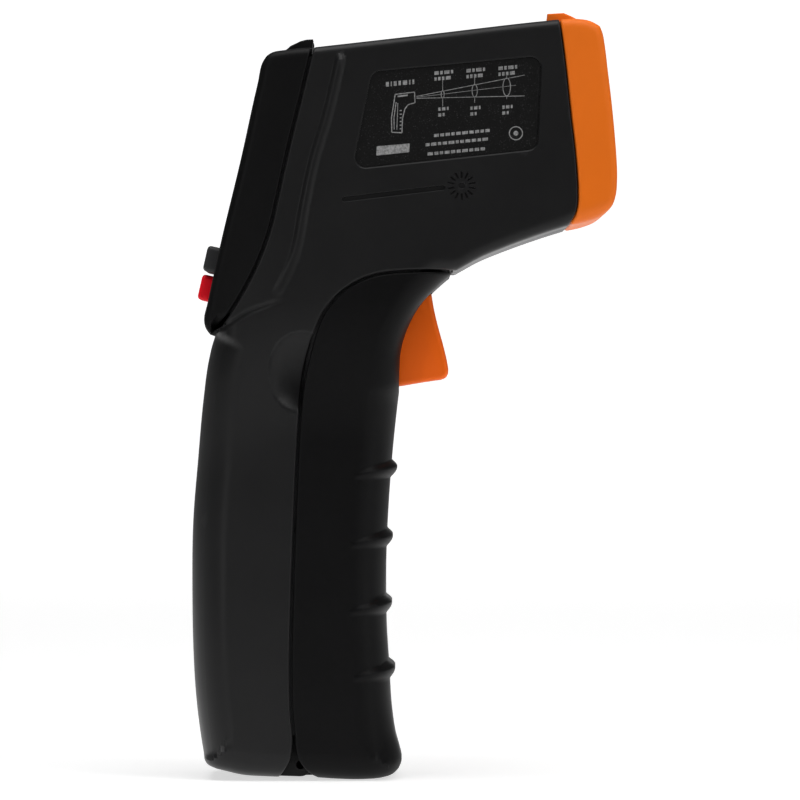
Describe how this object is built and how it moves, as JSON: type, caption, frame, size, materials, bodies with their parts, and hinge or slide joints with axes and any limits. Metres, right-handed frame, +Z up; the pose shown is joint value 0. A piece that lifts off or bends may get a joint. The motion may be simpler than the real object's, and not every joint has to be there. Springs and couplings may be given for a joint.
{
  "type": "infrared thermometer",
  "caption": "Pistol-grip infrared thermometer with a sprung trigger, hinged battery door, rear display with push buttons, and a lens well in the nose.",
  "frame": {"origin": "under the middle of the instrument, on the surface it stands on", "axes": "+X forward towards the nose, +Y to the instrument's left, +Z up along the grip"},
  "size_m": [0.0885, 0.043, 0.1591],
  "materials": {
    "housing": "satin black moulded plastic",
    "display_frame": "matte black moulded plastic",
    "door_rubber": "soft matte black plastic",
    "orange": "satin orange plastic",
    "red": "satin red plastic",
    "grey": "dark grey plastic",
    "board_green": "solder-masked board",
    "chip": "black epoxy",
    "label": "textured black label, light grey print",
    "white_plastic": "white light guide",
    "rubber": "black rubber",
    "battery_wrap": "printed metal jacket",
    "lead_red": "red insulation",
    "lead_black": "black insulation",
    "ribbon": "flat flexible cable",
    "steel": "zinc-plated",
    "brass": "turned",
    "glass": "clear window",
    "lens": "smoky infrared lens",
    "lcd": "liquid crystal display"
  },
  "bodies": {
    "body": {"housing_right": "housing", "housing_left": "housing", "display_housing": "display_frame", "nose_cap": "orange", "front_plate": "housing", "main_board": "board_green", "ribbon_cable": "ribbon", "hinge_pin": "steel", "display_window": "glass", "display_glass": "lcd", "backlight_guide": "white_plastic", "contact_strip": "rubber", "display_board": "board_green", "key_switch_left": "steel", "key_switch_right": "steel", "key_switch_red": "steel", "optics_tube": "housing", "infrared_lens": "lens", "sensor_can": "steel", "sensor_board": "board_green", "laser_module": "brass", "laser_lens": "glass", "controller_chip": "chip", "trigger_switch": "chip", "battery_lead_red": "lead_red", "battery_lead_black": "lead_black", "laser_lead_red": "lead_red", "laser_lead_black": "lead_black", "battery": "battery_wrap", "battery_snap": "rubber", "battery_tray": "housing", "side_label_right": "label", "side_label_left": "label", "housing_screw_1": "steel", "housing_screw_2": "steel", "housing_screw_3": "steel", "housing_screw_4": "steel", "housing_screw_5": "steel", "board_screw_1": "steel", "board_screw_2": "steel"},
    "door": {"battery_door": "door_rubber", "trigger_pin": "steel", "trigger_spring": "steel"},
    "trigger_lever": {"trigger": "orange"},
    "left_button": {"button_left": "grey"},
    "right_button": {"button_right": "grey"},
    "red_button": {"button_red": "red"}
  },
  "joints": [
    {"name": "door_hinge", "type": "hinge", "parent": "body", "child": "door", "pos_m": [-0.0214, 0, 0.0031], "axis": [0, 1, 0], "range_deg": [0, 70]},
    {"name": "trigger_pull", "type": "hinge", "parent": "door", "child": "trigger_lever", "pos_m": [0.0016, 0, 0.1012], "axis": [0, 1, 0], "range_deg": [0, 8], "stiffness_Nm_per_rad": 0.08, "springref_deg": -17.19},
    {"name": "left_button_press", "type": "slide", "parent": "body", "child": "left_button", "axis": [0.9753, 0, -0.2209], "range_m": [0, 0.0008], "stiffness_N_per_m": 400, "springref_m": -0.002},
    {"name": "right_button_press", "type": "slide", "parent": "body", "child": "right_button", "axis": [0.9753, 0, -0.2209], "range_m": [0, 0.0008], "stiffness_N_per_m": 400, "springref_m": -0.002},
    {"name": "red_button_press", "type": "slide", "parent": "body", "child": "red_button", "axis": [0.9753, 0, -0.2209], "range_m": [0, 0.0008], "stiffness_N_per_m": 400, "springref_m": -0.002}
  ]
}
